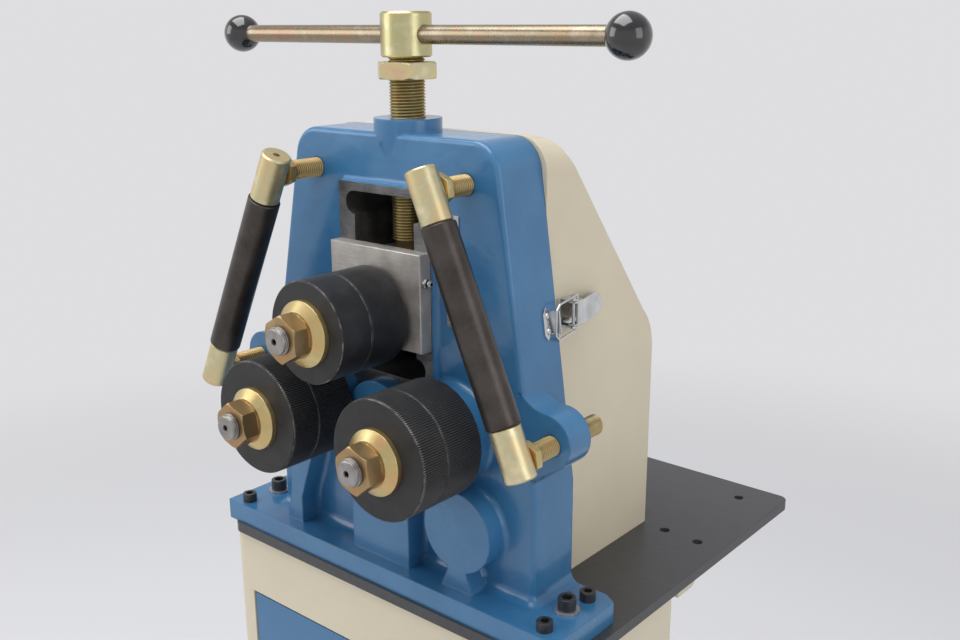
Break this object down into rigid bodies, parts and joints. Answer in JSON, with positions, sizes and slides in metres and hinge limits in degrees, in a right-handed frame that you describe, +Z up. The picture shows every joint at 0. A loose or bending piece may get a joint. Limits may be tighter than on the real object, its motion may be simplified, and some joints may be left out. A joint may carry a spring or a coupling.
{
  "type": "ring roller",
  "caption": "Motor-driven three-roll ring and section bender: cast head with screw-fed top roll, knurled lower rolls and inclined side guides, on a floor cabinet with a door",
  "frame": {"origin": "centre of the four floor bolt holes, on the floor", "axes": "+X to the operator's right seen from the front, +Y from the operator to the back, +Z up"},
  "size_m": [0.552, 0.5825, 1.299],
  "materials": {
    "blue_paint": "thick glossy machine enamel over cast iron",
    "cream_paint": "cream powder coat on folded sheet",
    "door_blue": "blue enamel on folded sheet",
    "black_steel": "black painted plate, satin",
    "black_oxide": "black oxidised roll steel",
    "dark_sleeve": "dark oiled tube",
    "yellow_zinc": "yellow passivated zinc plating",
    "ground_steel": "ground steel, lightly oiled",
    "bright_steel": "turned steel",
    "black_screw": "black socket screws",
    "ball_black": "glossy moulded ball",
    "chrome_latch": "bright plated pressing",
    "bronze": "bearing bronze",
    "cast_grey": "grey painted gearbox casting",
    "gland_plastic": "black nylon"
  },
  "bodies": {
    "stand": {"cabinet_shell": "cream_paint", "foot_plates": "cream_paint", "plate_rails": "cream_paint", "cable_gland": "gland_plastic", "door_hinge_pins": "bright_steel", "table_plate": "black_steel", "frame_casting": "blue_paint", "shaft_bushes": "bronze", "flange_bolts": "black_screw", "flange_bolt_washers": "bright_steel", "scale_rule": "bright_steel", "gearbox": "cast_grey", "drive_motor": "cast_grey", "gear_cover": "cream_paint", "latch_strikes": "chrome_latch", "latch_bases": "chrome_latch"},
    "door": {"cabinet_door": "door_blue"},
    "lock": {"door_lock": "chrome_latch"},
    "lever_right": {"latch_lever_right": "chrome_latch"},
    "lever_left": {"latch_lever_left": "chrome_latch"},
    "bail_right": {"latch_bail_right": "chrome_latch"},
    "bail_left": {"latch_bail_left": "chrome_latch"},
    "slide": {"slide_plate": "ground_steel", "slide_block": "ground_steel", "slide_keeper": "ground_steel", "top_bushes": "bronze", "grease_nipple": "bright_steel"},
    "screw": {"feed_screw": "yellow_zinc", "screw_lock_nut": "yellow_zinc", "handle_hub": "yellow_zinc", "handle_bar": "yellow_zinc", "handle_balls": "ball_black"},
    "top_roll": {"top_shaft": "bright_steel", "top_front_ring": "black_oxide", "top_rear_ring": "black_oxide", "top_flange_washer": "yellow_zinc", "top_shaft_nut": "yellow_zinc"},
    "right_roll": {"right_shaft": "bright_steel", "right_front_ring": "black_oxide", "right_rear_ring": "black_oxide", "right_flange_washer": "yellow_zinc", "right_shaft_nut": "yellow_zinc", "right_roll_gear": "ground_steel"},
    "left_roll": {"left_shaft": "bright_steel", "left_front_ring": "black_oxide", "left_rear_ring": "black_oxide", "left_flange_washer": "yellow_zinc", "left_shaft_nut": "yellow_zinc", "left_roll_gear": "ground_steel"},
    "idler": {"idler_shaft": "ground_steel", "bull_gear": "ground_steel"},
    "pinion": {"drive_pinion": "ground_steel"},
    "right_guide": {"right_guide_pin": "yellow_zinc", "right_guide_studs": "yellow_zinc", "right_guide_nuts": "yellow_zinc"},
    "left_guide": {"left_guide_pin": "yellow_zinc", "left_guide_studs": "yellow_zinc", "left_guide_nuts": "yellow_zinc"},
    "right_sleeve": {"right_guide_sleeve": "dark_sleeve"},
    "left_sleeve": {"left_guide_sleeve": "dark_sleeve"}
  },
  "joints": [
    {"name": "top_slide", "type": "slide", "parent": "stand", "child": "slide", "axis": [0, 0, 1], "range_m": [-0.03601, 0.05001]},
    {"name": "screw_turn", "type": "hinge", "parent": "slide", "child": "screw", "pos_m": [0, -0.04, 1.12], "axis": [0, 0, 1], "range_deg": [-4320, 6000]},
    {"name": "top_roll_spin", "type": "hinge", "parent": "slide", "child": "top_roll", "pos_m": [0, -0.096, 1.01], "axis": [0, 1, 0], "continuous": true},
    {"name": "right_roll_spin", "type": "hinge", "parent": "stand", "child": "right_roll", "pos_m": [0.087, -0.096, 0.904], "axis": [0, 1, 0], "continuous": true},
    {"name": "left_roll_spin", "type": "hinge", "parent": "stand", "child": "left_roll", "pos_m": [-0.087, -0.096, 0.904], "axis": [0, 1, 0], "continuous": true},
    {"name": "idler_spin", "type": "hinge", "parent": "stand", "child": "idler", "pos_m": [0, -0.096, 0.904], "axis": [0, 1, 0], "continuous": true},
    {"name": "pinion_spin", "type": "hinge", "parent": "stand", "child": "pinion", "pos_m": [0.107, -0.096, 0.80467], "axis": [0, 1, 0], "continuous": true},
    {"name": "right_guide_set", "type": "slide", "parent": "stand", "child": "right_guide", "axis": [0, 1, 0], "range_m": [-0.012, 0.02]},
    {"name": "left_guide_set", "type": "slide", "parent": "stand", "child": "left_guide", "axis": [0, 1, 0], "range_m": [-0.012, 0.02]},
    {"name": "right_sleeve_spin", "type": "hinge", "parent": "right_guide", "child": "right_sleeve", "pos_m": [0.1017, -0.123, 1.1452], "axis": [0.401, 0, -0.9161], "continuous": true},
    {"name": "left_sleeve_spin", "type": "hinge", "parent": "left_guide", "child": "left_sleeve", "pos_m": [-0.1017, -0.131, 1.1452], "axis": [-0.4453, 0, -0.8954], "continuous": true},
    {"name": "door_hinge", "type": "hinge", "parent": "stand", "child": "door", "pos_m": [-0.202, -0.102, 0.42], "axis": [0, 0, -1], "range_deg": [0, 105]},
    {"name": "lock_turn", "type": "hinge", "parent": "door", "child": "lock", "pos_m": [0.182, -0.096, 0.39], "axis": [0, 1, 0], "range_deg": [0, 90]},
    {"name": "lever_right_open", "type": "hinge", "parent": "stand", "child": "lever_right", "pos_m": [0.158, 0.024, 1.013], "axis": [0, 0, -1], "range_deg": [0, 150]},
    {"name": "lever_left_open", "type": "hinge", "parent": "stand", "child": "lever_left", "pos_m": [-0.158, 0.024, 1.013], "axis": [0, 0, 1], "range_deg": [0, 150]},
    {"name": "bail_right_swing", "type": "hinge", "parent": "lever_right", "child": "bail_right", "pos_m": [0.158, 0.03, 1.013], "axis": [0, 0, -1], "range_deg": [-180, 0]},
    {"name": "bail_left_swing", "type": "hinge", "parent": "lever_left", "child": "bail_left", "pos_m": [-0.158, 0.03, 1.013], "axis": [0, 0, 1], "range_deg": [-180, 0]}
  ],
  "couplings": [
    {"joint": "top_slide", "follows": "screw_turn", "m_per_rad": 0.00047746},
    {"joint": "left_roll_spin", "follows": "right_roll_spin", "ratio": 1},
    {"joint": "idler_spin", "follows": "right_roll_spin", "ratio": -1.2308},
    {"joint": "pinion_spin", "follows": "right_roll_spin", "ratio": 4.759},
    {"joint": "bail_right_swing", "follows": "lever_right_open", "ratio": -1.2},
    {"joint": "bail_left_swing", "follows": "lever_left_open", "ratio": -1.2}
  ]
}
